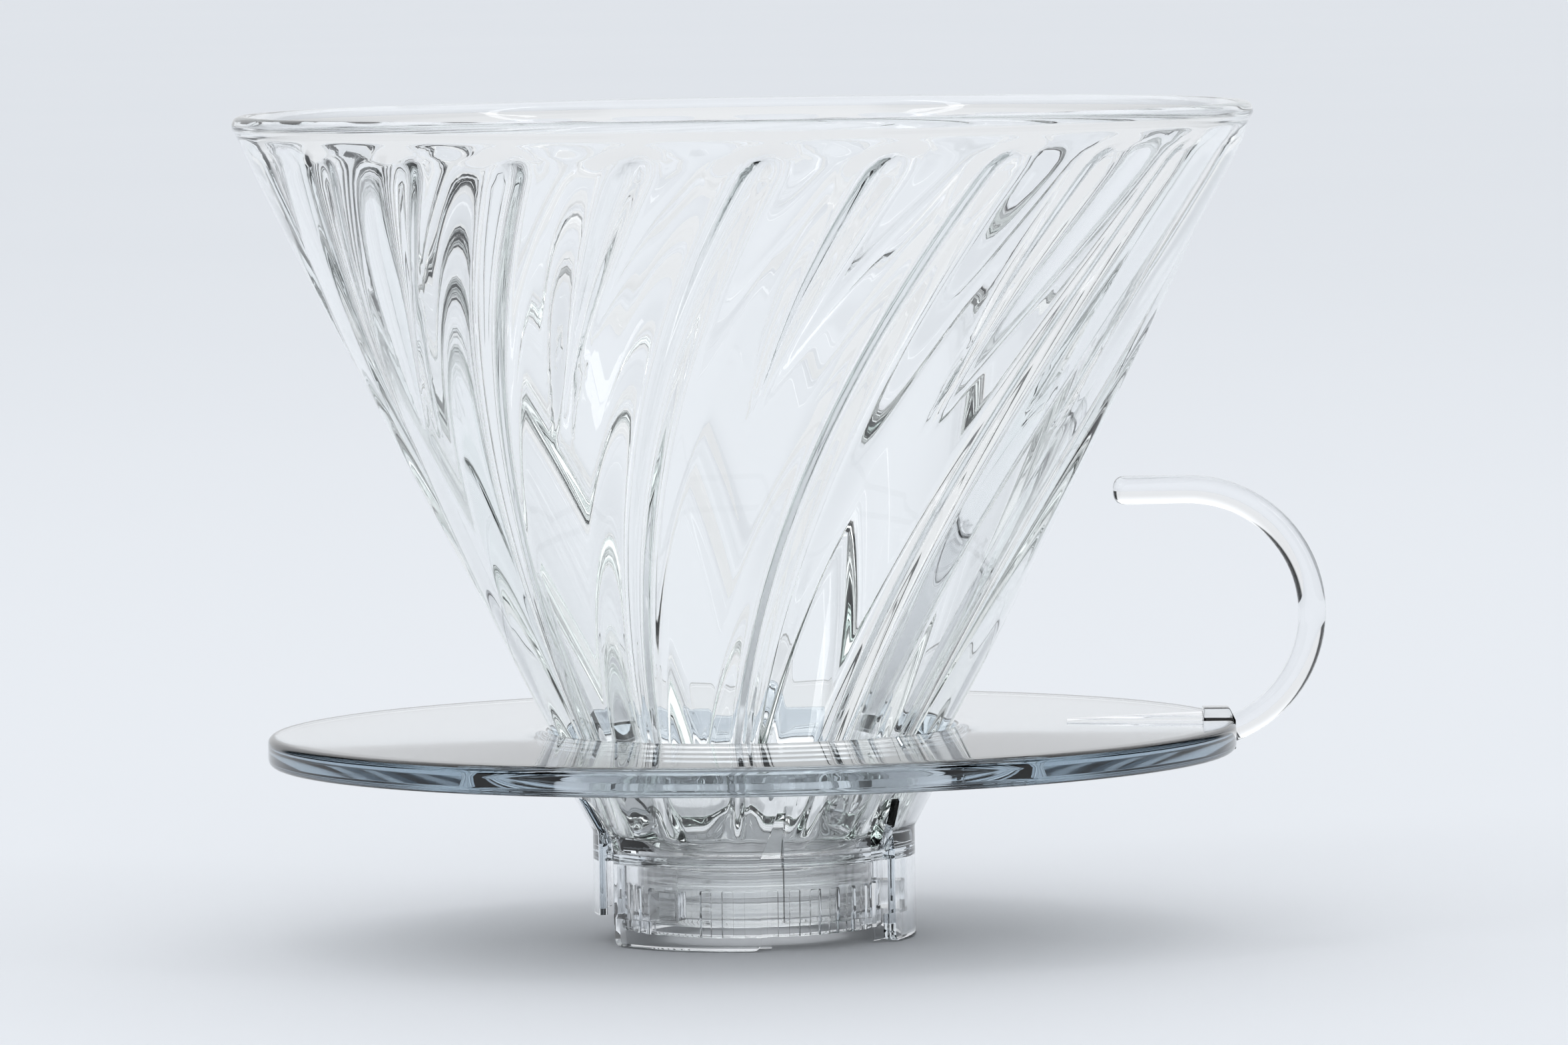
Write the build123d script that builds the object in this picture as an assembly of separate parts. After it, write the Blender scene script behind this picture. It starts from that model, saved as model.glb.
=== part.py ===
"""Pour over dripper: a ribbed glass cone held in a clear resin plate by a bayonet ring and a packing.

Frame, in millimetres: the origin is the middle of the outlet at the glass tip's lower end, +Z runs up
the cone's axis, and +X points at the handle.
"""
from build123d import *
from math import cos, pi, radians, sin
import os

# Levels along the axis, from the outlet's mouth at 0
skirt_bottom_z = -2.1
plate_bottom_z = 18.4
plate_top_z = 21.8
rim_top_z = 92.3

# Glass cone
rim_radius = 58.0
lip_radius = 1.2
outside_radius_at_plate = 23.1
turn_up_z = 88.0  # above this the wall steepens into the lip
outside_radius_at_turn = 56.8
outside_radius_at_lip = 57.5
shoulder_z = 8.3
shoulder_radius = 15.9
neck_radius = 12.0
outlet_radius = 9.6
outlet_length = 6.1
throat_z = 14.6
throat_radius = 15.5
inside_radius_at_lip = 55.7
lip_z = rim_top_z - lip_radius

# Spiral ribs inside the cone: long ones reach the throat, short ones stop half way
ribs_of_a_kind = 12
rib_radius = 2.5
rib_tip_share = 0.45  # a rib's radius at its lower end, as a share of that at its top
rib_height = 1.3
rib_top_z = 85.3
long_rib_bottom_z = 17.0
short_rib_bottom_z = 59.4
rib_twist = 0.54  # degrees of turn for each millimetre of height
long_rib_start = -87.3
short_rib_start = long_rib_start + 15.0
long_rib_stations = 7
short_rib_stations = 4

# Resin plate with its socket, ledge and skirt
plate_radius = 55.15
plate_edge_fillet = 1.5
socket_clearance = 0.25
socket_wall = 1.0
ledge_bottom_z = 7.2
ledge_top_z = 8.2
ledge_bore_radius = 12.5
skirt_outer_radius = 18.35
skirt_inner_radius = 16.75
socket_fillet = 1.2

# Skirt: long legs with a shorter, thinner panel between each two, and a slot at each side of a panel;
# angles are counted from the middle of a leg
leg_count = 3
leg_angle = 62.0
first_leg_centre = -119.0
leg_corner_radius = 1.0
panel_start_angle = 39.5
panel_end_angle = 74.8
panel_bottom_z = 1.0
panel_thickness = 0.95
slot_top_z = 14.4
slot_lean = 2.0

# Bayonet: each leg has a pocket in its inner face, open at the side where the lock ring's lug enters
pocket_end_angle = -1.0
lug_centre_angle = -8.1
lug_angle = 12.0
lug_outer_radius = 17.15
lug_bottom_z = 1.1
lug_top_z = 4.3

# Lock ring and packing
ring_radius = 14.6
ring_bore_radius = 13.4
ring_bottom_z = -0.9
ring_top_z = 6.9
ring_floor_thickness = 2.0
ring_floor_bore_radius = 12.35
grip_count = 36
grip_width = 1.3
grip_depth = 0.5
grip_top_z = 4.4
packing_clearance = 0.1
packing_inner_radius = 12.3

# Handle: a round rod bent into an open hook, with a root block and a tang on the plate
rod_radius = 1.65
hook_radius = 14.1
hook_centre_x = 49.85
hook_centre_z = 33.95
hook_tip_x = 43.1
hook_foot_angle = -78.0
root_block_inner_x = 51.3
root_block_top_x = 54.3
root_block_outer_x = 55.0
root_block_width = 4.6
root_block_top_z = 23.2
notch_outer_x = 56.5
tang_inner_x = 35.8
tang_width = 2.6
tang_height = 0.9
tang_tip_height = 0.3
plate_middle_z = (plate_bottom_z + plate_top_z) / 2


def turned(points):
    """A solid of revolution from an outline of (radius, z) points."""
    return revolve(make_face(Plane.XZ * Polyline(*points, close=True)), Axis.Z)


def ring_between(inner, outer, low, high):
    """A plain ring from low to high between two radii."""
    return turned([(inner, low), (outer, low), (outer, high), (inner, high)])


def sector(radius, low, high, centre, width):
    """A wedge of a cylinder, width degrees wide, with its middle at the angle centre."""
    wedge = Rot(0, 0, centre - width / 2) * Cylinder(
        radius, high - low, arc_size=width, align=(Align.NONE, Align.NONE, Align.MIN)
    )
    return Pos(0, 0, low) * wedge


def inside_radius(z):
    """Radius of the cone's inner face at a height above the throat."""
    share = (z - throat_z) / (lip_z - throat_z)
    return throat_radius + share * (inside_radius_at_lip - throat_radius)


def outside_radius(z):
    """Radius of the cone's outer face at a height between the shoulder and the plate's top."""
    share = (z - shoulder_z) / (plate_top_z - shoulder_z)
    return shoulder_radius + share * (outside_radius_at_plate - shoulder_radius)


def rib(start_angle, bottom_z, stations):
    """One spiral rib: round sections along the cone's inner face, turning as they go down."""
    slope = (inside_radius_at_lip - throat_radius) / (lip_z - throat_z)
    sections = []
    ends = []
    for step in range(stations):
        share = step / (stations - 1)
        z = rib_top_z + share * (bottom_z - rib_top_z)
        angle = radians(start_angle - rib_twist * (rib_top_z - z))
        size = rib_radius * (1.0 + share * (rib_tip_share - 1.0))
        radius = inside_radius(z) + size - rib_height
        centre = Vector(radius * cos(angle), radius * sin(angle), z)
        sideways = radians(rib_twist) * radius
        along = Vector(
            slope * cos(angle) - sideways * sin(angle),
            slope * sin(angle) + sideways * cos(angle),
            1.0,
        )
        sections.append(Plane(centre, z_dir=along) * Circle(size))
        if step in (0, stations - 1):
            ends.append(Pos(centre) * Sphere(size))
    return loft(sections) + ends


def glass_cone():
    """The cone with its rolled lip, shoulder, neck and ribs."""
    outside = [
        (neck_radius, 0.0),
        (neck_radius, shoulder_z),
        (shoulder_radius, shoulder_z),
        (outside_radius_at_plate, plate_top_z),
        (outside_radius_at_turn, turn_up_z),
        (outside_radius_at_lip, lip_z),
    ]
    inside = [
        (inside_radius_at_lip, lip_z),
        (throat_radius, throat_z),
        (outlet_radius, outlet_length),
        (outlet_radius, 0.0),
    ]
    body = turned(outside + inside)
    lip = Pos(0, 0, lip_z) * Torus(rim_radius - lip_radius, lip_radius)
    filled = turned(outside + [(0.0, lip_z), (0.0, 0.0)])
    long_rib = rib(long_rib_start, long_rib_bottom_z, long_rib_stations) & filled
    short_rib = rib(short_rib_start, short_rib_bottom_z, short_rib_stations) & filled
    turns = [Rot(0, 0, number * 360.0 / ribs_of_a_kind) for number in range(ribs_of_a_kind)]
    return body + lip + [turn * long_rib for turn in turns] + [turn * short_rib for turn in turns]


def leg_turns():
    """The turns about the axis that bring angle 0 to the middle of each leg."""
    return [Rot(0, 0, first_leg_centre + number * 360.0 / leg_count) for number in range(leg_count)]


def slot(leg_side, panel_side):
    """A slot through the skirt between two angles; above the ledge its leg side leans to the panel."""
    towards_panel = 1 if panel_side > leg_side else -1
    edge = towards_panel * skirt_outer_radius * sin(radians(abs(panel_side - leg_side) / 2))
    low = skirt_bottom_z - 1.0
    outline = Polyline(
        (-edge, low),
        (edge, low),
        (edge, slot_top_z),
        (-edge + towards_panel * slot_lean, slot_top_z),
        (-edge, ledge_top_z),
        close=True,
    )
    cut = extrude(Plane.YZ * make_face(outline), 2 * skirt_outer_radius)
    return Rot(0, 0, (leg_side + panel_side) / 2) * cut


def skirt_cuts():
    """What is cut from the skirt: the slots, the space under each panel, and the bayonet pockets."""
    leg_end = leg_angle / 2
    next_leg = 360.0 / leg_count - leg_end
    middle = (leg_end + next_leg) / 2
    under_panel = sector(
        2 * skirt_outer_radius, skirt_bottom_z - 1.0, panel_bottom_z, middle, next_leg - leg_end
    )
    pocket_start = panel_start_angle - 360.0 / leg_count
    pocket = sector(
        skirt_outer_radius - panel_thickness,
        panel_bottom_z,
        ledge_bottom_z,
        (pocket_start + pocket_end_angle) / 2,
        pocket_end_angle - pocket_start,
    )
    narrow_slot = slot(leg_end, panel_start_angle)
    wide_slot = slot(next_leg, panel_end_angle)
    return [turn * cut for turn in leg_turns() for cut in (under_panel, narrow_slot, wide_slot, pocket)]


def base_plate():
    """The round plate, the conical socket under it, the ledge, and the skirt of legs and panels."""
    plate = Pos(0, 0, plate_middle_z) * Cylinder(plate_radius, plate_top_z - plate_bottom_z)
    plate = fillet(plate.edges().filter_by(GeomType.CIRCLE), plate_edge_fillet)
    wall = socket_clearance + socket_wall
    slope = (outside_radius_at_plate - shoulder_radius) / (plate_top_z - shoulder_z)
    flare_z = shoulder_z + (skirt_outer_radius - wall - shoulder_radius) / slope
    root_radius = outside_radius(plate_bottom_z) + wall + socket_fillet
    skirt = turned(
        [
            (ledge_bore_radius, ledge_bottom_z),
            (skirt_inner_radius, ledge_bottom_z),
            (skirt_inner_radius, skirt_bottom_z),
            (skirt_outer_radius, skirt_bottom_z),
            (skirt_outer_radius, flare_z),
            (outside_radius(plate_bottom_z - socket_fillet) + wall, plate_bottom_z - socket_fillet),
            (root_radius, plate_bottom_z),
            (root_radius, plate_middle_z),
            (ledge_bore_radius, plate_middle_z),
        ]
    )
    skirt -= skirt_cuts()
    corners = skirt.edges().filter_by(GeomType.LINE).group_by(Axis.Z)[0]
    skirt = fillet(corners, leg_corner_radius)
    ledge = ring_between(ledge_bore_radius, skirt_inner_radius, ledge_bottom_z, ledge_top_z)
    above = plate_top_z + 1.0
    socket = turned(
        [
            (0.0, ledge_top_z),
            (outside_radius(ledge_top_z) + socket_clearance, ledge_top_z),
            (outside_radius(above) + socket_clearance, above),
            (0.0, above),
        ]
    )
    notch_size = (notch_outer_x - root_block_inner_x, root_block_width, plate_top_z - plate_bottom_z)
    notch = Box(*notch_size, align=(Align.MIN, Align.CENTER, Align.CENTER))
    return plate + skirt + ledge - socket - Pos(root_block_inner_x, 0, plate_middle_z) * notch


def lock_ring():
    """The bayonet ring: a sleeve with an inward floor, outward lugs and finger grips round its foot."""
    sleeve = ring_between(ring_bore_radius, ring_radius, ring_bottom_z, ring_top_z)
    floor_top = ring_bottom_z + ring_floor_thickness
    floor_ring = ring_between(
        ring_floor_bore_radius, ring_bore_radius + 0.2, ring_bottom_z, floor_top
    )
    lug = sector(lug_outer_radius, lug_bottom_z, lug_top_z, lug_centre_angle, lug_angle)
    lug -= Cylinder(ring_radius - 0.2, 4 * rim_top_z)
    notch = Pos(ring_radius, 0, (ring_bottom_z + grip_top_z) / 2) * Box(
        2 * grip_depth, grip_width, grip_top_z - ring_bottom_z
    )
    step = 360.0 / grip_count
    notches = []
    for number in range(grip_count // leg_count):
        from_lug = (number + 0.5) * step
        beside_lug = min(from_lug, 360.0 / leg_count - from_lug)
        if beside_lug > lug_angle / 2 + step / 2:
            notches.append(Rot(0, 0, lug_centre_angle + from_lug) * notch)
    lugs = [turn * lug for turn in leg_turns()]
    grips = [turn * cut for turn in leg_turns() for cut in notches]
    return sleeve + floor_ring + lugs - grips


def packing():
    """The silicone sleeve that the lock ring holds round the glass neck."""
    floor_top = ring_bottom_z + ring_floor_thickness
    return ring_between(
        packing_inner_radius, ring_bore_radius - packing_clearance, floor_top, ring_top_z
    )


def foot(points, width):
    """A flat piece of the handle's foot, from its outline in the plane of the handle."""
    outline = Polyline(*points, close=True)
    return extrude(Plane.XZ * make_face(outline), width / 2, both=True)


def handle():
    """The hook handle: a bent rod, and the root block and tang that fix it to the plate."""
    centre = Vector(hook_centre_x, 0, hook_centre_z)
    start = Vector(hook_tip_x, 0, hook_centre_z + hook_radius)
    bend = []
    for angle in (90.0, (90.0 + hook_foot_angle) / 2, hook_foot_angle):
        bend.append(centre + hook_radius * Vector(cos(radians(angle)), 0, sin(radians(angle))))
    path = Line(start, bend[0]) + ThreePointArc(*bend)
    rod = sweep(Plane(start, z_dir=(1, 0, 0)) * Circle(rod_radius), path)
    tip = Pos(start) * Sphere(rod_radius)
    block = foot(
        [
            (root_block_inner_x, plate_bottom_z),
            (root_block_outer_x, plate_bottom_z),
            (root_block_outer_x, plate_top_z),
            (root_block_top_x, root_block_top_z),
            (root_block_inner_x, root_block_top_z),
        ],
        root_block_width,
    )
    tang = foot(
        [
            (tang_inner_x, plate_top_z),
            (root_block_inner_x, plate_top_z),
            (root_block_inner_x, plate_top_z + tang_height),
            (tang_inner_x, plate_top_z + tang_tip_height),
        ],
        tang_width,
    )
    return rod + tip + block + tang


os.makedirs("parts", exist_ok=True)
export_step(glass_cone(), "parts/glass_cone.step")
export_step(base_plate(), "parts/base_plate.step")
export_step(handle(), "parts/handle.step")
export_step(lock_ring(), "parts/lock_ring.step")
export_step(packing(), "parts/packing.step")
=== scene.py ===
"""Looks for the pour over dripper: detailed glass and resin meshes, materials, light and camera."""
from math import cos, pi, radians, sin

import bpy
import numpy as np
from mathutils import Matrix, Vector


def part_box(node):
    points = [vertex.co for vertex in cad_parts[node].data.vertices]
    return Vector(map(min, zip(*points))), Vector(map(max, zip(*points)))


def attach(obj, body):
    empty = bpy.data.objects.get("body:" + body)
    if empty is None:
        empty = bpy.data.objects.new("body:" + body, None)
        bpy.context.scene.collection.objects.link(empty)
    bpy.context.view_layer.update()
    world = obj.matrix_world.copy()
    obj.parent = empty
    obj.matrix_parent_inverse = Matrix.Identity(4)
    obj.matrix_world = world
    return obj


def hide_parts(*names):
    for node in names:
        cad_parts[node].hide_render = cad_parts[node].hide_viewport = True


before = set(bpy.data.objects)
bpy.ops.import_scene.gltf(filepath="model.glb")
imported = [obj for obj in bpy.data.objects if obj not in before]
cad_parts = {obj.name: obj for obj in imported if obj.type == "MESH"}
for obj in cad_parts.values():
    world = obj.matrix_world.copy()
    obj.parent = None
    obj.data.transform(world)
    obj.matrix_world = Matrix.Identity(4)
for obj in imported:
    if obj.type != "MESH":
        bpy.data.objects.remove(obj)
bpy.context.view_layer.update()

MM = 0.001

# The glass lip and the object's lowest level, in metres, from the frame
_, CONE_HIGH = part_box("glass_cone")
PLATE_LOW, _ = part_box("base_plate")
LIP_BEAD = 1.2 * MM
RIM_RADIUS = CONE_HIGH.x
LIP_Z = CONE_HIGH.z - LIP_BEAD

# The glass in section, in millimetres, from the tip up
OUTLET_RADIUS = 9.6
OUTLET_TOP = 6.1
NECK_RADIUS = 12.0
SHOULDER_Z = 8.3
SHOULDER_RADIUS = 15.9
THROAT_Z = 14.6
THROAT_RADIUS = 15.5
PLATE_TOP_Z = 21.8
AT_PLATE_RADIUS = 23.1
TURN_UP_Z = 88.0
TURN_UP_RADIUS = 56.8
BEAD_FOOT_Z = 90.2
BEAD_OUTER_RADIUS = 57.4
BEAD_INNER_RADIUS = 55.5

# Heights and radii between which a point counts as outside or inside the middle of the wall
OUTER_WALL = (
    [SHOULDER_Z, PLATE_TOP_Z, TURN_UP_Z, 91.1],
    [SHOULDER_RADIUS, AT_PLATE_RADIUS, TURN_UP_RADIUS, 57.5],
)
INNER_WALL = ([OUTLET_TOP, THROAT_Z, 91.1], [OUTLET_RADIUS, THROAT_RADIUS, 55.7])

# How far in and up a step at right angles to the cone's wall goes
WALL_IN = 0.894
WALL_UP = 0.447

# Ribs, in millimetres and degrees; the start angles are those at the height TWIST_FROM
RIBS_OF_A_KIND = 12
LONG_RIB_START = -87.3
SHORT_RIB_START = LONG_RIB_START + 15.0
TWIST_FROM = 88.0
TWIST_RATE = 0.6244
TWIST_SLOWING = 0.00129
RIDGE_TOP = 89.2
RIDGE_HALF_WIDTH = 3.0
RIDGE_HEIGHT = 1.5
GROOVE_TOP = 89.8
GROOVE_HALF_WIDTH = 6.4
GROOVE_DEPTH = 1.3
LONG_RIB_FOOT = 7.0
SHORT_RIB_FOOT = 60.5
LONG_RIB_TIP_SHARE = 0.5
SHORT_RIB_TIP_SHARE = 0.12
END_LENGTH = 3.0

# Share of a sector's columns that lie on its ridge, and of those that lie beside it on each side
RIDGE_COLUMNS = 0.36
FLAT_COLUMNS = 0.14

# The camera looks along +Y, with the handle straight to its right
CAMERA_DISTANCE = 1.2
CAMERA_HEIGHT = 0.119
CAMERA_ROLL = -0.92
CAMERA_TARGET = (0.004, 0, 0.045)
SENSOR_WIDTH = 36.0
FRAME_WIDTH = 0.178

# The studio's light, as a share of white, and where its dark side flags begin
STUDIO_COLOUR = (0.955, 0.975, 1.0)
HORIZON_LIGHT = 0.84
OVERHEAD_LIGHT = 1.25
FLAG_START = 0.46
FLAG_FULL = 0.58
LAMP_TARGET_Z = 0.05
FLOOR_RADIUS = 40
FLOOR_SIDES = 64
FLOOR_GAP = 0.0001


def mesh_object(name, verts, faces, smooth=True):
    """A mesh object made from points in metres."""
    mesh = bpy.data.meshes.new(name)
    mesh.from_pydata([tuple(v) for v in verts], [], faces)
    mesh.validate()
    mesh.update()
    piece = bpy.data.objects.new(name, mesh)
    bpy.context.scene.collection.objects.link(piece)
    if smooth:
        mesh.shade_smooth()
    return piece


# ---------------------------------------------------------------- glass cone

def smooth_step(low, high, value):
    """0 below low, 1 above high, and a smooth rise between."""
    share = np.clip((value - low) / (high - low), 0.0, 1.0)
    return share * share * (3.0 - 2.0 * share)


def rounded_profile(corners, spread, step=0.08):
    """A closed outline through the corners, sampled evenly, with every corner rounded."""
    closed = np.array(corners + corners[:1], float)
    lengths = np.hypot(*np.diff(closed, axis=0).T)
    along = np.concatenate([[0.0], np.cumsum(lengths)])
    count = int(along[-1] / step)
    places = np.linspace(0.0, along[-1], count, endpoint=False)
    points = np.stack([np.interp(places, along, closed[:, k]) for k in (0, 1)], axis=1)
    reach = int(4 * spread / step)
    weights = np.exp(-0.5 * (np.arange(-reach, reach + 1) * step / spread) ** 2)
    weights /= weights.sum()
    wrapped = np.concatenate([points[-reach:], points, points[:reach]])
    return np.stack([np.convolve(wrapped[:, k], weights, "valid") for k in (0, 1)], axis=1)


def thinned(points, rows, flat_step=0.95, curved_step=0.22):
    """The same outline with rows points, closer together where it bends."""
    ahead = np.roll(points, -1, axis=0) - points
    lengths = np.hypot(*ahead.T)
    heading = np.unwrap(np.arctan2(ahead[:, 1], ahead[:, 0]))
    bend = np.abs(np.gradient(heading)) / lengths
    window = np.ones(9) / 9
    bend = np.convolve(np.concatenate([bend[-4:], bend, bend[:4]]), window, "valid")
    density = 1.0 / flat_step + (1.0 / curved_step - 1.0 / flat_step) * np.clip(bend / 0.5, 0, 1)
    total = np.concatenate([[0.0], np.cumsum(density * lengths)])
    wanted = np.linspace(0.0, total[-1], rows, endpoint=False)
    loop = np.concatenate([points, points[:1]])
    return np.stack([np.interp(wanted, total, loop[:, k]) for k in (0, 1)], axis=1)


def cone_outline():
    """Outline of the glass in (radius, height), in millimetres, up the outside and down the inside."""
    lip_r = RIM_RADIUS / MM - LIP_BEAD / MM
    lip_z = LIP_Z / MM
    bead = []
    for degrees in range(-20, 201, 20):
        angle = radians(degrees)
        bead.append((lip_r + LIP_BEAD / MM * cos(angle), lip_z + LIP_BEAD / MM * sin(angle)))
    outside = [
        (OUTLET_RADIUS, 0.0),
        (NECK_RADIUS, 0.0),
        (NECK_RADIUS, SHOULDER_Z),
        (SHOULDER_RADIUS, SHOULDER_Z),
        (AT_PLATE_RADIUS, PLATE_TOP_Z),
        (TURN_UP_RADIUS, TURN_UP_Z),
        (BEAD_OUTER_RADIUS, BEAD_FOOT_Z),
    ]
    inside = [
        (BEAD_INNER_RADIUS, BEAD_FOOT_Z),
        (THROAT_RADIUS, THROAT_Z),
        (OUTLET_RADIUS, OUTLET_TOP),
    ]
    return outside + bead + inside


def twist(height):
    """How far a rib has turned, in radians, at a height in millimetres."""
    down = TWIST_FROM - height
    return np.radians(TWIST_RATE * down - TWIST_SLOWING * down * down)


def rib_field(radius, height, offset, start, foot, top, widest, tip_share):
    """How strongly one kind of rib is raised, from 0 to 1, at each point of a twisted grid."""
    length = top - END_LENGTH - foot
    down = np.clip(top - END_LENGTH - height, 0.0, length)
    above = np.maximum(height - (top - END_LENGTH), 0.0) / END_LENGTH
    below = np.maximum(foot - height, 0.0) / END_LENGTH
    half_width = widest * (1.0 - (1.0 - tip_share) * (down / length) ** 1.3)
    pitch = 2 * pi / RIBS_OF_A_KIND
    turn = (offset - start + pitch / 2) % pitch - pitch / 2
    lean = np.arctan(radius * np.radians(TWIST_RATE - 2 * TWIST_SLOWING * down) * WALL_IN)
    across = radius * turn * np.cos(lean) / half_width
    distance = np.sqrt(across ** 2 + above ** 2 + below ** 2)
    strength = np.minimum(1.0, (half_width / widest) * 1.6)
    return strength * (1.0 - smooth_step(0.0, 1.0, distance))


def both_kinds(radius, height, offset, top, widest):
    """The long and the short ribs of one face together."""
    long_start, short_start = radians(LONG_RIB_START), radians(SHORT_RIB_START)
    long_ribs = rib_field(
        radius, height, offset, long_start, LONG_RIB_FOOT, top, widest, LONG_RIB_TIP_SHARE
    )
    short_ribs = rib_field(
        radius, height, offset, short_start, SHORT_RIB_FOOT, top, widest, SHORT_RIB_TIP_SHARE
    )
    return np.maximum(long_ribs, short_ribs)


def column_angles(radius, height, inner, columns):
    """Angles of the grid's columns: even on the outside, closer together on the ridges inside."""
    sector = pi / RIBS_OF_A_KIND
    place = np.arange(columns) * 2 * RIBS_OF_A_KIND / columns
    nearest = np.round(place)
    share = (place - nearest)[None, :]
    widest_ridge = 1.25 * RIDGE_HALF_WIDTH
    ridge = np.clip(widest_ridge / np.maximum(radius, 1.0) / sector, 0.15, RIDGE_COLUMNS)
    blend = inner * smooth_step(16.0, 22.0, height) * (1.0 - smooth_step(80.0, 88.0, height))
    reach = RIDGE_COLUMNS + (ridge - RIDGE_COLUMNS) * blend
    away = np.abs(share)
    spread = np.where(
        away < RIDGE_COLUMNS,
        away * reach / RIDGE_COLUMNS,
        reach + (away - RIDGE_COLUMNS) * (0.5 - reach) / FLAT_COLUMNS,
    )
    return radians(LONG_RIB_START) + sector * (nearest[None, :] + np.sign(share) * spread)


def cone_mesh(columns=576, rows=170):
    """The ribbed cone as one closed grid, whose columns follow the spiral of the ribs."""
    outline = thinned(rounded_profile(cone_outline(), 0.35), rows)
    radius = outline[:, 0][:, None]
    height = outline[:, 1][:, None]
    wall_middle = 0.5 * (np.interp(height, *OUTER_WALL) + np.interp(height, *INNER_WALL))
    outer = radius > wall_middle
    offset = column_angles(radius, height, np.where(outer, 0.0, 1.0), columns)
    groove = GROOVE_DEPTH * both_kinds(radius, height, offset, GROOVE_TOP, GROOVE_HALF_WIDTH)
    ridge = RIDGE_HEIGHT * both_kinds(radius, height, offset, RIDGE_TOP, RIDGE_HALF_WIDTH)
    depth = np.where(outer, groove, ridge)
    depth = depth * smooth_step(8.5, 16.0, height) * (1.0 - smooth_step(88.8, 90.2, height))
    pushed_radius = radius - depth * WALL_IN
    pushed_height = height + depth * WALL_UP
    angle = offset - twist(height)
    points = np.stack(
        [pushed_radius * np.cos(angle), pushed_radius * np.sin(angle), pushed_height], axis=-1
    )
    faces = wrapped_faces(rows, columns)
    return mesh_object("ribbed_glass_cone", points.reshape(-1, 3) * MM, faces)


def ring_grid(name, outline, columns):
    """A closed outline in (radius, height) turned about the axis."""
    rows = len(outline)
    angle = (np.arange(columns) * 2 * pi / columns)[None, :]
    radius = outline[:, 0][:, None]
    height = outline[:, 1][:, None] + 0 * angle
    points = np.stack([radius * np.cos(angle), radius * np.sin(angle), height], axis=-1)
    return mesh_object(name, points.reshape(-1, 3) * MM, wrapped_faces(rows, columns))


def wrapped_faces(rows, columns):
    """Faces of a grid that closes on itself both ways."""
    faces = []
    for row in range(rows):
        low = row * columns
        high = ((row + 1) % rows) * columns
        for column in range(columns):
            beside = (column + 1) % columns
            faces.append((low + column, low + beside, high + beside, high + column))
    return faces


def wedge_piece(name, rows, far, across=10):
    """A wedge about the axis, out to the far radius.

    Each row gives a height, the near radius and the two side angles in degrees.
    """
    verts = []
    for height, near, first, last in rows:
        for reach in (near, far):
            for angle in np.radians(np.linspace(first, last, across + 1)):
                verts.append((reach * cos(angle), reach * sin(angle), height))
    wide = across + 1
    faces = []
    for level in range(len(rows) - 1):
        low = level * 2 * wide
        high = low + 2 * wide
        for step in range(across):
            inner, outer = low + step, low + wide + step
            up_inner, up_outer = high + step, high + wide + step
            faces.append((inner + 1, inner, up_inner, up_inner + 1))
            faces.append((outer, outer + 1, up_outer + 1, up_outer))
        faces.append((low, low + wide, high + wide, high))
        faces.append((low + wide + across, low + across, high + across, high + wide + across))
    top = (len(rows) - 1) * 2 * wide
    for step in range(across):
        faces.append((step, step + 1, wide + step + 1, wide + step))
        faces.append((top + step + 1, top + step, top + wide + step, top + wide + step + 1))
    triangles = [part for a, b, c, d in faces for part in ((a, b, c), (a, c, d))]
    return mesh_object(name, np.array(verts) * MM, triangles, smooth=False)


def box_piece(name, low, high):
    """A box between two corners in millimetres."""
    across, deep, tall = zip(low, high)
    verts = [(x, y, z) for x in across for y in deep for z in tall]
    faces = [(0, 1, 3, 2), (4, 6, 7, 5), (0, 4, 5, 1), (2, 3, 7, 6), (0, 2, 6, 4), (1, 5, 7, 3)]
    return mesh_object(name, np.array(verts) * MM, faces, smooth=False)


def settle(piece):
    """Applies a piece's modifiers to its mesh."""
    graph = bpy.context.evaluated_depsgraph_get()
    mesh = bpy.data.meshes.new_from_object(piece.evaluated_get(graph), depsgraph=graph)
    piece.modifiers.clear()
    piece.data = mesh


def combine(piece, others, operation):
    """Cuts the others out of a piece, or joins them to it, and removes them."""
    for other in others:
        change = piece.modifiers.new("change", "BOOLEAN")
        change.operation = operation
        change.solver = "EXACT"
        change.object = other
    bpy.context.view_layer.update()
    settle(piece)
    for other in others:
        bpy.data.objects.remove(other)


def finish_surface(piece, sharp_degrees=35.0):
    """Shades a piece smooth, apart from edges that turn by more than sharp_degrees."""
    piece.data.shade_smooth()
    piece.data.set_sharp_from_angle(angle=radians(sharp_degrees))


# ---------------------------------------------------------------- holder plate

# Angles in degrees from a leg's middle, lengths in millimetres
LEG_COUNT = 3
FIRST_LEG = -119.0
LEG_END = 31.0
PANEL_START = 39.5
PANEL_END = 74.8
PANEL_BOTTOM = 1.0
NEXT_LEG = 360.0 / LEG_COUNT - LEG_END
SKIRT_OUTER = 18.35
SKIRT_INNER = 16.75
PANEL_INNER = 17.4
SKIRT_BOTTOM = -2.1
LEDGE_BOTTOM = 7.2
LEDGE_TOP = 8.2
SLOT_TOP = 14.4
SLOT_LEAN = np.degrees(2.0 / SKIRT_OUTER)
POCKET_END = -1.0
PLATE_BOTTOM = 18.4
LEDGE_RADIUS = 12.5
LOWER_EDGE_MIDDLE = (54.35, 19.2)
UPPER_EDGE_MIDDLE = (54.35, 21.0)
EDGE_ROUNDING = 0.75
FLARE_MIDDLE = (24.6, 15.2)
FLARE_RADIUS = 3.2

# The handle's root block, and the notch it stands in
BLOCK_INNER = 51.3
BLOCK_HALF_WIDTH = 2.3

# How near to and far from the axis the cutters of the skirt reach
CUT_NEAR = 16.0
SLOT_CUT_NEAR = 14.0
CUT_FAR = 24.0


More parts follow.
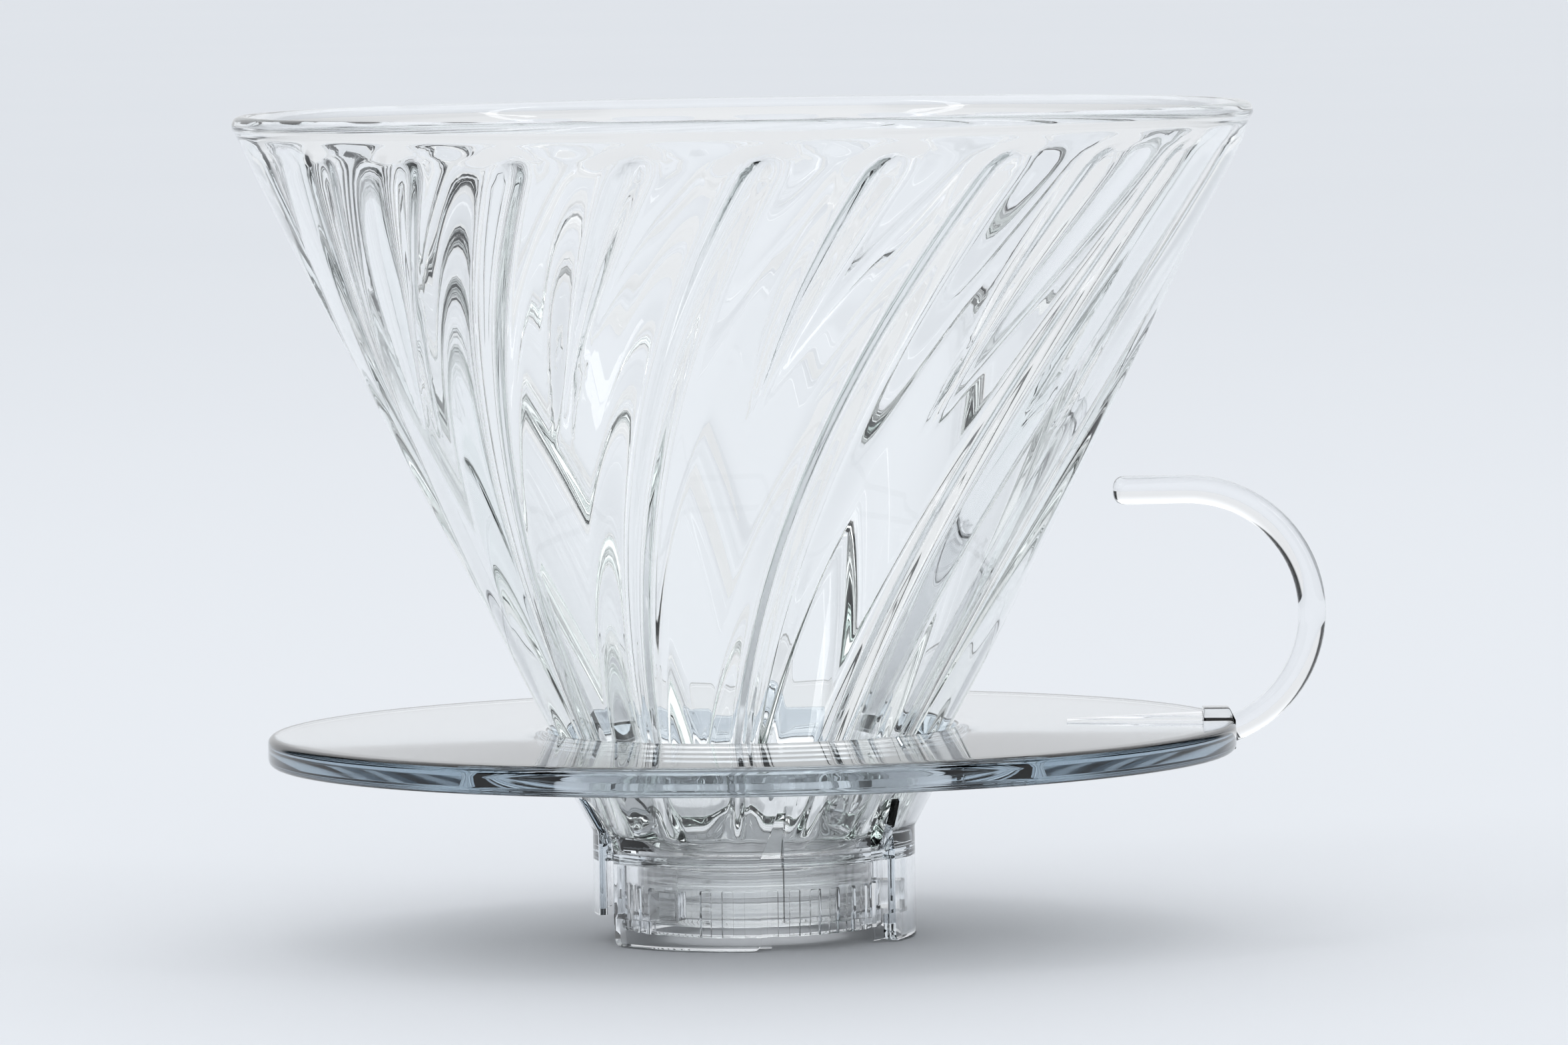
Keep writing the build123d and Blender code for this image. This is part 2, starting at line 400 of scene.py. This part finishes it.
def arc_points(middle, radius, first, last, step=15):
    """Points on an arc in (radius, height), from one angle to another in degrees."""
    count = max(2, int(abs(last - first) / step) + 1)
    angles = np.radians(np.linspace(first, last, count))
    return [(middle[0] + radius * cos(a), middle[1] + radius * sin(a)) for a in angles]


def plate_outline():
    """The plate, socket and skirt in section, in millimetres."""
    lower_edge = arc_points(LOWER_EDGE_MIDDLE, EDGE_ROUNDING, -90, 0)
    upper_edge = arc_points(UPPER_EDGE_MIDDLE, EDGE_ROUNDING, 0, 90)
    flare = arc_points(FLARE_MIDDLE, FLARE_RADIUS, 160, 92, 12)
    return [
        (SKIRT_INNER, SKIRT_BOTTOM),
        (SKIRT_OUTER, SKIRT_BOTTOM),
        (SKIRT_OUTER, 10.3),
        *flare,
        (27.5, PLATE_BOTTOM),
        *lower_edge,
        *upper_edge,
        (23.35, PLATE_TOP_Z),
        (16.1, LEDGE_TOP),
        (LEDGE_RADIUS, LEDGE_TOP),
        (LEDGE_RADIUS, LEDGE_BOTTOM),
        (SKIRT_INNER, LEDGE_BOTTOM),
    ]


def slot_rows(leg_side, panel_side):
    """A slot's rows from below the skirt up: rounded at the leg's foot, and leaning above the ledge."""
    away = 1.0 if leg_side > panel_side else -1.0
    skirt_near = SKIRT_INNER + 0.02
    rows = []
    for drop in (1.5, 1.0, 0.95, 0.85, 0.7, 0.5, 0.25, 0.0):
        rounding = np.degrees((1.0 - np.sqrt(1.0 - min(drop, 1.0) ** 2)) / SKIRT_OUTER)
        rows.append((SKIRT_BOTTOM + 1.0 - drop, skirt_near, leg_side + away * rounding))
    rows.append((LEDGE_TOP, skirt_near, leg_side))
    rows.append((LEDGE_TOP + 0.001, SLOT_CUT_NEAR, leg_side))
    rows.append((SLOT_TOP - 0.4, SLOT_CUT_NEAR, leg_side - away * SLOT_LEAN * 0.94))
    rows.append((SLOT_TOP, SLOT_CUT_NEAR, leg_side - away * (SLOT_LEAN + 0.6)))
    return [(z, near, *sorted((side, panel_side))) for z, near, side in rows]


def turned_rows(rows, turn):
    """A wedge's rows, turned about the axis by an angle in degrees."""
    return [(z, near, first + turn, last + turn) for z, near, first, last in rows]


def leg_turns():
    """The angle of each leg's middle, in degrees."""
    return [FIRST_LEG + number * 360.0 / LEG_COUNT for number in range(LEG_COUNT)]


def plate_mesh():
    """The plate with its socket and skirt, cut into legs and panels, and notched for the handle."""
    outline = thinned(rounded_profile(plate_outline(), 0.14), 120, 1.4, 0.16)
    plate = ring_grid("holder_plate", outline, 256)
    narrow_middle = (LEG_END + PANEL_START) / 2
    wide_middle = (PANEL_END + NEXT_LEG) / 2
    under_panel = [
        (SKIRT_BOTTOM - 0.6, CUT_NEAR, narrow_middle, wide_middle),
        (PANEL_BOTTOM, CUT_NEAR, narrow_middle, wide_middle),
    ]
    pocket_start = narrow_middle - 360.0 / LEG_COUNT
    pocket = [
        (PANEL_BOTTOM - 0.02, CUT_NEAR, pocket_start, POCKET_END),
        (LEDGE_BOTTOM - 0.08, CUT_NEAR, pocket_start, POCKET_END),
    ]
    narrow_slot = slot_rows(LEG_END, PANEL_START)
    wide_slot = slot_rows(NEXT_LEG, PANEL_END)
    cutters = []
    for turn in leg_turns():
        cutters.append(wedge_piece("under_panel", turned_rows(under_panel, turn), CUT_FAR))
        cutters.append(wedge_piece("narrow_slot", turned_rows(narrow_slot, turn), CUT_FAR))
        cutters.append(wedge_piece("wide_slot", turned_rows(wide_slot, turn), CUT_FAR))
        cutters.append(wedge_piece("pocket", turned_rows(pocket, turn), PANEL_INNER, across=24))
    notch_low = (BLOCK_INNER, -BLOCK_HALF_WIDTH, 17.0)
    notch_high = (60.0, BLOCK_HALF_WIDTH, 23.0)
    cutters.append(box_piece("notch", notch_low, notch_high))
    combine(plate, cutters, "DIFFERENCE")
    finish_surface(plate)
    return plate


# ---------------------------------------------------------------- handle

TIP_RADIUS = 1.64
FOOT_RADIUS = 1.52
HOOK_RADIUS = 14.1
HOOK_MIDDLE = (49.85, 33.95)
HOOK_TIP = 43.1
PART_GAP = 0.04

# The tang's section: how far to the side, and the share of its height there
TANG_SECTION = ((-1.3, 0.0), (-1.3, 0.55), (-0.75, 1.0), (0.75, 1.0), (1.3, 0.55), (1.3, 0.0))
# Its height at each place along it
TANG_HEIGHTS = ((35.8, 0.3), (41.0, 0.5), (47.0, 0.74), (52.5, 0.9))


def rod_path():
    """The middle line of the hook in its own plane, in millimetres, from tip to foot."""
    top = HOOK_MIDDLE[1] + HOOK_RADIUS
    points = [(HOOK_TIP + step * (HOOK_MIDDLE[0] - HOOK_TIP) / 6, top) for step in range(6)]
    for degrees in range(90, -79, -4):
        angle = radians(degrees)
        x = HOOK_MIDDLE[0] + HOOK_RADIUS * cos(angle)
        points.append((x, HOOK_MIDDLE[1] + HOOK_RADIUS * sin(angle)))
    return points


def rod_mesh(around=40):
    """The bent rod, a little thinner towards its foot, with a blunt rounded tip."""
    path = rod_path()
    rings = []
    for degrees in range(6, 90, 7):
        angle = radians(degrees)
        start = Vector((HOOK_TIP - TIP_RADIUS * cos(angle) ** 0.75, 0, path[0][1]))
        rings.append((start, Vector((1, 0, 0)), TIP_RADIUS * sin(angle) ** 0.75))
    for index, (x, z) in enumerate(path):
        before = path[max(index - 1, 0)]
        after = path[min(index + 1, len(path) - 1)]
        along = Vector((after[0] - before[0], 0, after[1] - before[1])).normalized()
        share = index / (len(path) - 1)
        rings.append((Vector((x, 0, z)), along, TIP_RADIUS + share * (FOOT_RADIUS - TIP_RADIUS)))
    verts = []
    sideways = Vector((0, 1, 0))
    for middle, along, radius in rings:
        up = sideways.cross(along)
        for step in range(around):
            angle = 2 * pi * step / around
            verts.append(middle + radius * (cos(angle) * sideways + sin(angle) * up))
    faces = []
    for ring in range(len(rings) - 1):
        for step in range(around):
            beside = (step + 1) % around
            low, high = ring * around, (ring + 1) * around
            faces.append((low + step, low + beside, high + beside, high + step))
    faces.append(tuple(range(around))[::-1])
    last = (len(rings) - 1) * around
    faces.append(tuple(last + step for step in range(around)))
    return mesh_object("hook_handle", [v * MM for v in verts], faces)


def stations_piece(name, stations):
    """A solid through a row of closed outlines, each with the same number of points."""
    count = len(stations[0])
    verts = [point for station in stations for point in station]
    faces = [tuple(range(count))[::-1], tuple(range(len(verts) - count, len(verts)))]
    for station in range(len(stations) - 1):
        for side in range(count):
            beside = (side + 1) % count
            a, b = station * count, (station + 1) * count
            faces.append((a + side, a + beside, b + beside, b + side))
    return mesh_object(name, np.array(verts) * MM, faces, smooth=False)


def rounded(piece, width):
    """The piece with its edges rounded to a width in millimetres."""
    rounding = piece.modifiers.new("rounding", "BEVEL")
    rounding.width = width * MM
    rounding.segments = 3
    settle(piece)
    return piece


def handle_mesh():
    """The hook with its root block and the tang on the plate."""
    rod = rod_mesh()
    low, inner = PLATE_BOTTOM + PART_GAP, BLOCK_INNER + PART_GAP
    outline = [(inner, low), (55.0, low), (55.0, PLATE_TOP_Z), (54.3, 23.2), (inner, 23.2)]
    half = BLOCK_HALF_WIDTH - PART_GAP
    block = stations_piece("root_block", [[(x, y, z) for x, z in outline] for y in (half, -half)])
    stations = []
    for x, rise in TANG_HEIGHTS:
        station = []
        for y, share in TANG_SECTION:
            lift = PART_GAP if share == 0.0 else rise * share
            station.append((x, y, PLATE_TOP_Z + lift))
        stations.append(station)
    tang = stations_piece("tang", stations)
    combine(rod, [rounded(block, 0.22), tang], "UNION")
    finish_surface(rod, 40.0)
    return rod


# ---------------------------------------------------------------- lock ring

RING_FLOOR_RADIUS = 12.35
RING_INNER = 13.4
RING_OUTER = 14.6
RING_BOTTOM = -0.9
RING_FLOOR_TOP = 1.1
RING_TOP = 6.9

# Rows of a wedge: height, near radius, and the two sides in degrees from its middle
LUG_ROWS = [
    (1.1, 14.3, -5.6, 5.6),
    (1.35, 14.3, -5.9, 5.9),
    (4.05, 14.3, -5.9, 5.9),
    (4.3, 14.3, -5.6, 5.6),
]
GRIP_ROWS = [(-1.5, 14.1, -2.5, 2.5), (4.2, 14.1, -2.5, 2.5), (4.4, 14.25, -2.0, 2.0)]
LUG_MIDDLE = -8.1
LUG_RADIUS = 17.1
LUG_STEP = 120.0
GRIPS_A_STEP = 12
GRIP_PITCH = 10.0
LUG_CLEARANCE = 11.0


def lock_ring_mesh():
    """The ring with its inward floor, three lugs and the grip notches round its foot."""
    outline = [
        (RING_FLOOR_RADIUS, RING_BOTTOM),
        (RING_OUTER, RING_BOTTOM),
        (RING_OUTER, RING_TOP),
        (RING_INNER, RING_TOP),
        (RING_INNER, RING_FLOOR_TOP),
        (RING_FLOOR_RADIUS, RING_FLOOR_TOP),
    ]
    outline = thinned(rounded_profile(outline, 0.12), 60, 0.9, 0.15)
    ring = ring_grid("bayonet_ring", outline, 240)
    lugs, notches = [], []
    for turn in leg_turns():
        middle = turn + LUG_MIDDLE
        lugs.append(wedge_piece("lug", turned_rows(LUG_ROWS, middle), LUG_RADIUS))
        for number in range(GRIPS_A_STEP):
            from_lug = (number + 0.5) * GRIP_PITCH
            if min(from_lug, LUG_STEP - from_lug) > LUG_CLEARANCE:
                rows = turned_rows(GRIP_ROWS, middle + from_lug)
                notches.append(wedge_piece("notch", rows, CUT_NEAR, across=3))
    combine(ring, lugs, "UNION")
    combine(ring, notches, "DIFFERENCE")
    finish_surface(ring)
    return ring


PACKING_BOTTOM = 1.14
PACKING_TOP = 6.88
PACKING_OUTER = 13.28
PACKING_INNER = 12.62
PACKING_LIP = 12.3


def packing_mesh():
    """The silicone sleeve, with two soft lips on its inner face."""
    outline = [
        (PACKING_INNER, PACKING_BOTTOM),
        (PACKING_OUTER, PACKING_BOTTOM),
        (PACKING_OUTER, PACKING_TOP),
        (PACKING_INNER, PACKING_TOP),
    ]
    for middle in (5.3, 2.7):
        outline += [
            (PACKING_INNER, middle + 0.7),
            (PACKING_LIP, middle + 0.3),
            (PACKING_LIP, middle - 0.3),
            (PACKING_INNER, middle - 0.7),
        ]
    outline = thinned(rounded_profile(outline, 0.1), 70, 0.6, 0.12)
    return ring_grid("neck_packing", outline, 160)


# ---------------------------------------------------------------- materials

GLASS_IOR = 1.474
RESIN_IOR = 1.5
SILICONE_IOR = 1.41
FILM_ROUGHNESS = 0.02


def node_material(name):
    """A material with one Principled shader, and its tree, shader and output."""
    material = bpy.data.materials.new(name)
    material.use_nodes = True
    tree = material.node_tree
    tree.nodes.clear()
    output = tree.nodes.new("ShaderNodeOutputMaterial")
    shader = tree.nodes.new("ShaderNodeBsdfPrincipled")
    tree.links.new(shader.outputs["BSDF"], output.inputs["Surface"])
    return material, tree, shader, output


def noise(tree, scale, detail=2.0):
    """Noise fixed to the object, at a scale in turns per metre."""
    place = tree.nodes.new("ShaderNodeTexCoord")
    texture = tree.nodes.new("ShaderNodeTexNoise")
    texture.inputs["Scale"].default_value = scale
    texture.inputs["Detail"].default_value = detail
    tree.links.new(place.outputs["Object"], texture.inputs["Vector"])
    return texture.outputs["Fac"]


def spread_of(tree, value, low, high):
    """The value from 0.3 to 0.7 spread to run from low to high."""
    node = tree.nodes.new("ShaderNodeMapRange")
    node.inputs["From Min"].default_value = 0.3
    node.inputs["From Max"].default_value = 0.7
    node.inputs["To Min"].default_value = low
    node.inputs["To Max"].default_value = high
    tree.links.new(value, node.inputs["Value"])
    return node.outputs["Result"]


def clear_material(name, ior, tint, density, wave_scale, wave_depth):
    """Clear glass or resin: its tint comes with depth, and its surface is faintly uneven."""
    material, tree, shader, output = node_material(name)
    shader.inputs["Base Color"].default_value = (1.0, 1.0, 1.0, 1.0)
    shader.inputs["Transmission Weight"].default_value = 1.0
    shader.inputs["IOR"].default_value = ior
    film_value = spread_of(tree, noise(tree, 90.0, 4.0), 0.0, FILM_ROUGHNESS)
    tree.links.new(film_value, shader.inputs["Roughness"])
    bump = tree.nodes.new("ShaderNodeBump")
    bump.inputs["Strength"].default_value = 1.0
    bump.inputs["Distance"].default_value = wave_depth
    tree.links.new(noise(tree, wave_scale, 1.0), bump.inputs["Height"])
    tree.links.new(bump.outputs["Normal"], shader.inputs["Normal"])
    absorption = tree.nodes.new("ShaderNodeVolumeAbsorption")
    absorption.inputs["Color"].default_value = (*tint, 1.0)
    absorption.inputs["Density"].default_value = density
    tree.links.new(absorption.outputs["Volume"], output.inputs["Volume"])
    return material


def silicone_material():
    """Milky-clear silicone with a satin surface."""
    material, tree, shader, _ = node_material("silicone")
    shader.inputs["Base Color"].default_value = (0.97, 0.98, 0.98, 1.0)
    shader.inputs["Transmission Weight"].default_value = 0.96
    shader.inputs["IOR"].default_value = SILICONE_IOR
    tree.links.new(spread_of(tree, noise(tree, 400.0), 0.08, 0.16), shader.inputs["Roughness"])
    return material


def floor_material():
    """Pale matt paper."""
    material, tree, shader, _ = node_material("floor_paper")
    shader.inputs["Base Color"].default_value = (0.81, 0.83, 0.86, 1.0)
    shader.inputs["Specular IOR Level"].default_value = 0.2
    tree.links.new(spread_of(tree, noise(tree, 3.0), 0.75, 0.9), shader.inputs["Roughness"])
    return material


# ---------------------------------------------------------------- the pieces

cone = cone_mesh()
glass = clear_material("clear_glass", GLASS_IOR, (0.72, 0.90, 0.84), 9.0, 60.0, 0.00002)
cone.data.materials.append(glass)
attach(cone, "cone")
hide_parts("glass_cone")

resin = clear_material("plate_resin", RESIN_IOR, (0.30, 0.46, 0.57), 16.0, 25.0, 0.00001)
handle_resin = clear_material(
    "handle_resin", RESIN_IOR, (0.55, 0.70, 0.80), 6.0, 60.0, 0.00001
)
for piece, body, node, material, slot in (
    (plate_mesh(), "holder", "base_plate", resin, "plate_resin"),
    (handle_mesh(), "holder", "handle", handle_resin, "handle_resin"),
    (lock_ring_mesh(), "ring", "lock_ring", resin, "ring_resin"),
    (packing_mesh(), "ring", "packing", silicone_material(), "silicone"),
):
    piece.data.materials.clear()
    piece.data.materials.append(material)
    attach(piece, body)
    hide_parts(node)


# ---------------------------------------------------------------- stage

floor_angles = [k * 2 * pi / FLOOR_SIDES for k in range(FLOOR_SIDES)]
floor_z = PLATE_LOW.z - FLOOR_GAP
floor = mesh_object(
    "floor",
    [(FLOOR_RADIUS * cos(angle), FLOOR_RADIUS * sin(angle), floor_z) for angle in floor_angles],
    [tuple(range(FLOOR_SIDES))],
    smooth=False,
)
floor.data.materials.append(floor_material())


def aim(thing, place, target, roll=0.0):
    """Puts a lamp or camera at a place, looking at a target, rolled by an angle in degrees."""
    thing.location = place
    thing.rotation_euler = (Vector(target) - Vector(place)).to_track_quat("-Z", "Y").to_euler()
    thing.rotation_euler.rotate_axis("Z", radians(roll))


def area_light(name, azimuth, elevation, distance, width, height, power):
    """A soft lamp. Azimuth 0 is the camera's side, in degrees, and lengths are in metres."""
    lamp = bpy.data.lights.new(name, "AREA")
    lamp.shape = "RECTANGLE"
    lamp.size = width
    lamp.size_y = height
    lamp.energy = power
    thing = bpy.data.objects.new(name, lamp)
    bpy.context.scene.collection.objects.link(thing)
    flat = distance * cos(radians(elevation))
    angle = radians(azimuth - 90.0)
    above = LAMP_TARGET_Z + distance * sin(radians(elevation))
    aim(thing, (flat * cos(angle), flat * sin(angle), above), (0, 0, LAMP_TARGET_Z))


area_light("top_softbox", 180, 65, 1.6, 1.4, 0.5, 1.5)
area_light("left_strip", -55, 35, 1.4, 0.10, 1.0, 1.2)
area_light("right_strip", 65, 30, 1.5, 0.08, 1.0, 1.0)


def mapped(tree, value, low, high, start, end):
    """A value spread smoothly from the range low to high onto the range start to end."""
    node = tree.nodes.new("ShaderNodeMapRange")
    node.interpolation_type = "SMOOTHSTEP"
    for name, number in (("From Min", low), ("From Max", high), ("To Min", start), ("To Max", end)):
        node.inputs[name].default_value = number
    tree.links.new(value, node.inputs["Value"])
    return node.outputs["Result"]


def combined(tree, operation, first, second):
    """One number from two, each an output socket or a plain number."""
    node = tree.nodes.new("ShaderNodeMath")
    node.operation = operation
    for socket, value in zip(node.inputs, (first, second)):
        if isinstance(value, float):
            socket.default_value = value
        else:
            tree.links.new(value, socket)
    return node.outputs[0]


def studio_world():
    """A pale studio, brighter overhead, with dark flags to the left and right of the dripper."""
    world = bpy.data.worlds.new("studio")
    world.use_nodes = True
    bpy.context.scene.world = world
    tree = world.node_tree
    tree.nodes.clear()
    output = tree.nodes.new("ShaderNodeOutputWorld")
    background = tree.nodes.new("ShaderNodeBackground")
    background.inputs["Color"].default_value = (*STUDIO_COLOUR, 1.0)
    place = tree.nodes.new("ShaderNodeTexCoord")
    split = tree.nodes.new("ShaderNodeSeparateXYZ")
    tree.links.new(place.outputs["Generated"], split.inputs["Vector"])
    # x is the sideways share of the direction: near 0 ahead and behind, near 1 to the sides
    side = tree.nodes.new("ShaderNodeMath")
    side.operation = "ABSOLUTE"
    tree.links.new(split.outputs["X"], side.inputs[0])
    level = mapped(tree, split.outputs["Z"], 0.15, 0.7, HORIZON_LIGHT, OVERHEAD_LIGHT)
    sideways = mapped(tree, side.outputs[0], FLAG_START, FLAG_FULL, 0.0, 1.0)
    low_down = mapped(tree, split.outputs["Z"], 0.5, 0.68, 1.0, 0.0)
    flag = combined(tree, "MULTIPLY", sideways, low_down)
    open_share = combined(tree, "SUBTRACT", 1.0, flag)
    tree.links.new(combined(tree, "MULTIPLY", level, open_share), background.inputs["Strength"])
    tree.links.new(background.outputs["Background"], output.inputs["Surface"])


studio_world()

camera_data = bpy.data.cameras.new("camera")
camera_data.sensor_width = SENSOR_WIDTH
camera_data.lens = SENSOR_WIDTH * CAMERA_DISTANCE / FRAME_WIDTH
camera_data.clip_end = 50.0
camera = bpy.data.objects.new("camera", camera_data)
bpy.context.scene.collection.objects.link(camera)
aim(camera, (0, -CAMERA_DISTANCE, CAMERA_HEIGHT), CAMERA_TARGET, CAMERA_ROLL)
bpy.context.scene.camera = camera

scene = bpy.context.scene
scene.view_settings.view_transform = "Standard"
scene.cycles.max_bounces = 24
scene.cycles.transmission_bounces = 24
scene.cycles.glossy_bounces = 8
scene.cycles.diffuse_bounces = 4
